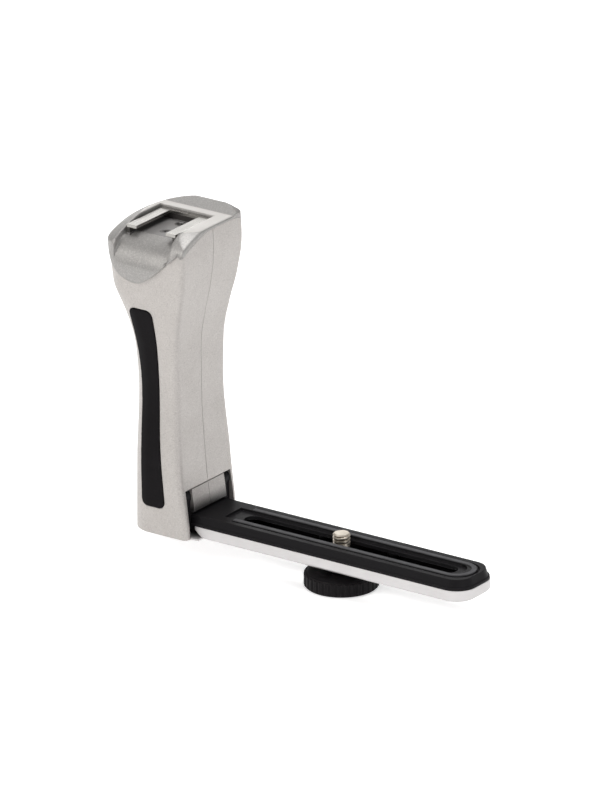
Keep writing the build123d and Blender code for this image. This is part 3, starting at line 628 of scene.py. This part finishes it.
def threadRadiusAt(turn, height, top):
    # a thread with flat roots and crests that fades out at its foot and at the bevelled tip
    cycle = (height / cameraScrew["pitch"] - turn) % 1.0
    offRoot = abs(cycle - 0.5) * 2 - cameraScrew["rootShare"]
    ridge = max(0.0, min(1.0, offRoot / cameraScrew["flankShare"]))
    depth = cameraScrew["threadDepth"] * (1 - ridge)
    foot = (height - cameraScrew["threadLow"]) / (cameraScrew["runIn"] * cameraScrew["pitch"])
    depth *= max(0.0, min(1.0, foot))
    radius = cameraScrew["threadRadius"] - depth
    bevel = cameraScrew["tipBevel"] - (top - height)
    return min(radius, cameraScrew["threadRadius"] - max(0.0, bevel))


def buildCameraScrew():
    low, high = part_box("camera_screw")
    plain = [
        (low.z, cameraScrew["headRadius"] - cameraScrew["headBevel"]),
        (low.z + cameraScrew["headBevel"], cameraScrew["headRadius"]),
        (cameraScrew["headTop"], cameraScrew["headRadius"]),
        (cameraScrew["headTop"], cameraScrew["shankRadius"]),
        (cameraScrew["neckLow"], cameraScrew["shankRadius"]),
        (cameraScrew["neckLow"], cameraScrew["neckRadius"]),
        (cameraScrew["neckHigh"], cameraScrew["neckRadius"]),
        (cameraScrew["neckHigh"], cameraScrew["shankRadius"]),
        (cameraScrew["threadLow"], cameraScrew["shankRadius"]),
    ]
    threadLength = high.z - cameraScrew["threadLow"]
    steps = int(threadLength / cameraScrew["ringStep"])
    threadHeights = [cameraScrew["threadLow"] + threadLength * (step + 1) / steps
                     for step in range(steps)]
    heights = [height for height, radius in plain] + threadHeights

    def radiusAt(turn, height, number):
        if number < len(plain):
            return plain[number][1]
        return threadRadiusAt(turn, height, high.z)

    shape = turnedShape(heights, cameraScrew["segments"], radiusAt)
    screw = meshObject("camera_screw_threaded", shape, screwMetal, meshes["threadAngle"])
    slotHalf = (cameraScrew["slotReach"] * cameraScrew["headRadius"], cameraScrew["slotWidth"] / 2,
                cameraScrew["slotDepth"])
    slotShape = barShape(Matrix.Translation((0, 0, low.z)), slotHalf)
    cutWith(screw, meshObject("driver_slot", slotShape, screwMetal))
    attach(screw, "screw")
    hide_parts("camera_screw")


buildCameraScrew()
print("camera screw threaded")


# Small screws with cross recesses, in place of the plain ones

crossHead = {
    "segments": 40,
    "armWidth": 0.17,             # half an arm's width, as a share of the head's radius
    "armReach": 0.5,              # share of the head's radius
    "depth": 0.5,                 # share of the head's radius, or of deepest times its thickness
    "deepest": 1.6,
    "edge": 0.12,                 # share of the head's radius
    "firstTurn": 0.35,            # radians; each screw stopped at a turn of its own
    "turnStep": 1.0,
    "pointRadius": 0.7,           # of the shank's radius
    "pointLength": 0.3,
    "sunkRim": 0.1 * mm,
    "sunkBevel": 0.05 * mm,
}
smallScrews = {
    "shoe_screws": {
        "body": "handle", "headUp": True, "sunkHead": True, "headRadius": 2.18 * mm,
        "headThick": 1.0 * mm, "shankRadius": 1.18 * mm, "metal": shoeScrewMetal,
    },
    "arm_screws": {
        "body": "arm", "headUp": False, "sunkHead": False, "headRadius": 1.98 * mm,
        "headThick": 0.7 * mm, "shankRadius": 1.08 * mm, "metal": fastenerMetal,
    },
    "base_screws": {
        "body": "handle", "headUp": False, "sunkHead": True, "headRadius": 1.98 * mm,
        "headThick": 0.7 * mm, "shankRadius": 1.08 * mm, "metal": fastenerMetal,
    },
}


def islandCentres(node):
    # middle, lowest and highest corner of each separate solid in a node's mesh
    shape = bmesh.new()
    shape.from_mesh(nodes[node].data)
    bmesh.ops.remove_doubles(shape, verts=shape.verts, dist=meshes["weldReach"])
    left = set(shape.verts)
    boxes = []
    while left:
        stack = [left.pop()]
        found = list(stack)
        while stack:
            for edge in stack.pop().link_edges:
                for vert in edge.verts:
                    if vert in left:
                        left.discard(vert)
                        stack.append(vert)
                        found.append(vert)
        low = Vector([min(vert.co[axis] for vert in found) for axis in range(3)])
        high = Vector([max(vert.co[axis] for vert in found) for axis in range(3)])
        boxes.append((low, high))
    shape.free()
    return sorted(boxes, key=lambda corners: (round(corners[0].x, 5), round(corners[0].y, 5)))


def screwProfile(kind, length):
    # heights and radii up a small screw, from its point to the top of its head
    headRadius = kind["headRadius"]
    shankRadius = kind["shankRadius"]
    underHead = length - kind["headThick"]
    profile = [(0.0, shankRadius * crossHead["pointRadius"]),
               (shankRadius * crossHead["pointLength"], shankRadius), (underHead, shankRadius)]
    if kind["sunkHead"]:
        return profile + [(length - crossHead["sunkRim"], headRadius),
                          (length, headRadius - crossHead["sunkBevel"])]
    edge = crossHead["edge"] * headRadius
    return profile + [(underHead, headRadius), (length - edge, headRadius),
                      (length, headRadius - edge)]


def crossHeadScrews(node, kind):
    # one object with all screws of a node: each is turned, then its cross recess is cut
    name = node + "_recessed"
    headRadius = kind["headRadius"]
    depth = crossHead["depth"] * min(kind["headThick"] * crossHead["deepest"], headRadius)
    armHalf = (crossHead["armReach"] * headRadius, crossHead["armWidth"] * headRadius, depth)
    flip = Matrix.Identity(4) if kind["headUp"] else Matrix.Rotation(math.pi, 4, "X")
    whole = None
    for number, (low, high) in enumerate(islandCentres(node)):
        length = high.z - low.z
        profile = screwProfile(kind, length)
        shape = turnedShape([height for height, radius in profile], crossHead["segments"],
                            lambda turn, height, at: profile[at][1])
        screw = meshObject(name if whole is None else "spare", shape, kind["metal"])
        firstTurn = crossHead["firstTurn"] + crossHead["turnStep"] * number
        for turn in (firstTurn, firstTurn + math.pi / 2):
            armPlace = Matrix.Translation((0, 0, length)) @ Matrix.Rotation(turn, 4, "Z")
            cutWith(screw, meshObject("recess", barShape(armPlace, armHalf), kind["metal"]))
        middle = (low + high) / 2
        foot = low.z if kind["headUp"] else high.z
        screw.data.transform(Matrix.Translation((middle.x, middle.y, foot)) @ flip)
        if whole is None:
            whole = screw
        else:
            joined = bmesh.new()
            joined.from_mesh(whole.data)
            joined.from_mesh(screw.data)
            joined.to_mesh(whole.data)
            joined.free()
            bpy.data.objects.remove(screw)
    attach(whole, kind["body"])
    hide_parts(node)


for screwNode, screwKind in smallScrews.items():
    crossHeadScrews(screwNode, screwKind)
print("small screws recessed")


# The soft grips, with rounded lips

grips = {
    "voxel": 0.24,                # mm
    "coarseVoxel": 0.5,
    "smoothTurns": 6,
    "smoothShare": 0.5,
}


def softGrip(node, name):
    # the CAD pad, remeshed fine and smoothed so that its lips are as round as moulded rubber
    shape = bmesh.new()
    shape.from_mesh(nodes[node].data)
    bmesh.ops.remove_doubles(shape, verts=shape.verts, dist=meshes["weldReach"])
    low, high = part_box(node)
    pad = meshObject(name, shape, gripRubber)
    remesh = pad.modifiers.new("even", "REMESH")
    remesh.mode = "VOXEL"
    remesh.voxel_size = grips["voxel"] * mm
    smooth = pad.modifiers.new("round", "SMOOTH")
    smooth.iterations = grips["smoothTurns"]
    smooth.factor = grips["smoothShare"]
    graph = bpy.context.evaluated_depsgraph_get()
    done = bpy.data.meshes.new_from_object(pad.evaluated_get(graph))
    pad.modifiers.clear()
    pad.data = done
    for vert in done.vertices:
        for axis in range(3):
            vert.co[axis] = max(low[axis], min(high[axis], vert.co[axis]))
    for polygon in done.polygons:
        polygon.use_smooth = True
    done.materials.clear()
    done.materials.append(gripRubber)
    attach(pad, "handle")
    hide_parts(node)


softGrip("grip_pad_rear", "grip_rubber_rear")
softGrip("grip_pad_front", "grip_rubber_front")
print("grips rounded")


# Camera, at the photograph's angle

view = {
    "azimuth": 34.8,              # degrees round from the rear of the bracket
    "elevation": 20.8,            # degrees above the horizon
    "distance": 4.0,
    "lens": 504.0,
    "sensor": 36.0,
    "nearest": 0.05,
    "farthest": 60.0,
    "target": (-0.0181, 0.0, 0.0492),
}
azimuth = math.radians(view["azimuth"])
elevation = math.radians(view["elevation"])
backwards = Vector((math.sin(azimuth) * math.cos(elevation),
                    -math.cos(azimuth) * math.cos(elevation), math.sin(elevation)))
cameraData = bpy.data.cameras.new("camera")
cameraData.lens = view["lens"]
cameraData.sensor_width = view["sensor"]
cameraData.sensor_fit = "AUTO"
cameraData.clip_start = view["nearest"]
cameraData.clip_end = view["farthest"]
camera = bpy.data.objects.new("camera", cameraData)
bpy.context.scene.collection.objects.link(camera)
camera.location = Vector(view["target"]) + view["distance"] * backwards
camera.rotation_mode = "QUATERNION"
camera.rotation_quaternion = (-backwards).to_track_quat("-Z", "Y")
bpy.context.scene.camera = camera


# White room: floor, lamps and world

room = {
    "floorColour": "F4F4F4",
    "floorGlow": 0.55,            # for the camera and reflections alone, so the page stays white
    "floorHalf": 8.0,
    "floorGap": 0.2 * mm,         # under the lowest point
    "toothSize": 1.5,             # mm, the paper's faint tooth
    "toothDepth": 0.05,           # mm
    "lampAim": (-0.03, 0.0, 0.045),
    "worldStrength": 0.36,
    "worldColour": "F7F6F5",
}
lamps = [
    # name, place, size, watts, colour
    ("key", (-0.55, -1.15, 0.85), 0.9, 6.6, "FFFDFA"),
    ("fill", (1.2, -0.35, 0.55), 0.8, 2.9, "FBFCFF"),
    ("top", (-0.1, 0.25, 1.35), 0.9, 8.0, "FFFFFF"),
    ("rim", (-0.9, 0.9, 0.5), 0.6, 1.5, "FFFFFF"),
]


def buildFloor():
    # a paper backdrop, dull white with a faint tooth, which is clear from below
    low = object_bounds()[0]
    half = room["floorHalf"]
    shape = bmesh.new()
    corners = [(-half, -half), (half, -half), (half, half), (-half, half)]
    shape.faces.new([shape.verts.new((x, y, low.z - room["floorGap"])) for x, y in corners])
    material, tree = emptyMaterial("matt_white_paper")
    place = addNode(tree, "ShaderNodeTexCoord").outputs["Object"]
    tooth = addNode(tree, "ShaderNodeTexNoise", {},
                    {"Vector": place, "Scale": perMetre(room["toothSize"]), "Detail": 3.0})
    bump = addNode(tree, "ShaderNodeBump", {},
                   {"Strength": 0.1, "Distance": room["toothDepth"] * mm,
                    "Height": tooth.outputs["Fac"]})
    paper = addNode(tree, "ShaderNodeBsdfDiffuse", {},
                    {"Color": linearColour(room["floorColour"]), "Normal": bump.outputs[0]})
    path = addNode(tree, "ShaderNodeLightPath")
    seen = addNode(tree, "ShaderNodeMath", {"operation": "MAXIMUM"},
                   {0: path.outputs["Is Camera Ray"], 1: path.outputs["Is Glossy Ray"]})
    seenToo = addNode(tree, "ShaderNodeMath", {"operation": "MAXIMUM"},
                      {0: seen.outputs[0], 1: path.outputs["Is Transmission Ray"]})
    glowLevel = addNode(tree, "ShaderNodeMath", {"operation": "MULTIPLY"},
                        {0: seenToo.outputs[0], 1: room["floorGlow"]})
    glow = addNode(tree, "ShaderNodeEmission", {},
                   {"Color": (1, 1, 1, 1), "Strength": glowLevel.outputs[0]})
    both = addNode(tree, "ShaderNodeAddShader", {}, {0: paper.outputs[0], 1: glow.outputs[0]})
    under = addNode(tree, "ShaderNodeNewGeometry")
    clear = addNode(tree, "ShaderNodeBsdfTransparent")
    floorShader = addNode(tree, "ShaderNodeMixShader", {},
                          {0: under.outputs["Backfacing"], 1: both.outputs[0], 2: clear.outputs[0]})
    showShader(tree, floorShader)
    meshObject("paper_floor", shape, material)


def buildLamps():
    aim = Vector(room["lampAim"])
    for name, place, size, watts, hexCode in lamps:
        data = bpy.data.lights.new(name, "AREA")
        data.shape = "DISK"
        data.size = size
        data.energy = watts
        data.color = linearColour(hexCode)[:3]
        lamp = bpy.data.objects.new(name, data)
        bpy.context.scene.collection.objects.link(lamp)
        lamp.location = place
        lamp.rotation_mode = "QUATERNION"
        lamp.rotation_quaternion = (aim - Vector(place)).to_track_quat("-Z", "Y")


def buildWorld():
    # white to the camera, and dimmer as a light
    world = bpy.data.worlds.new("white_room")
    bpy.context.scene.world = world
    world.use_nodes = True
    tree = world.node_tree
    tree.nodes.clear()
    path = addNode(tree, "ShaderNodeLightPath")
    seen = addNode(tree, "ShaderNodeMath", {"operation": "MAXIMUM"},
                   {0: path.outputs["Is Camera Ray"], 1: path.outputs["Is Transmission Ray"]})
    level = addNode(tree, "ShaderNodeMapRange", {},
                    {"Value": seen.outputs[0], "From Min": 0.0, "From Max": 1.0,
                     "To Min": room["worldStrength"], "To Max": 1.0})
    light = addNode(tree, "ShaderNodeBackground", {},
                    {"Color": linearColour(room["worldColour"]), "Strength": level.outputs[0]})
    addNode(tree, "ShaderNodeOutputWorld", {}, {"Surface": light.outputs[0]})


buildFloor()
buildLamps()
buildWorld()
bpy.context.scene.view_settings.view_transform = "Standard"
print("camera, lamps and floor placed")
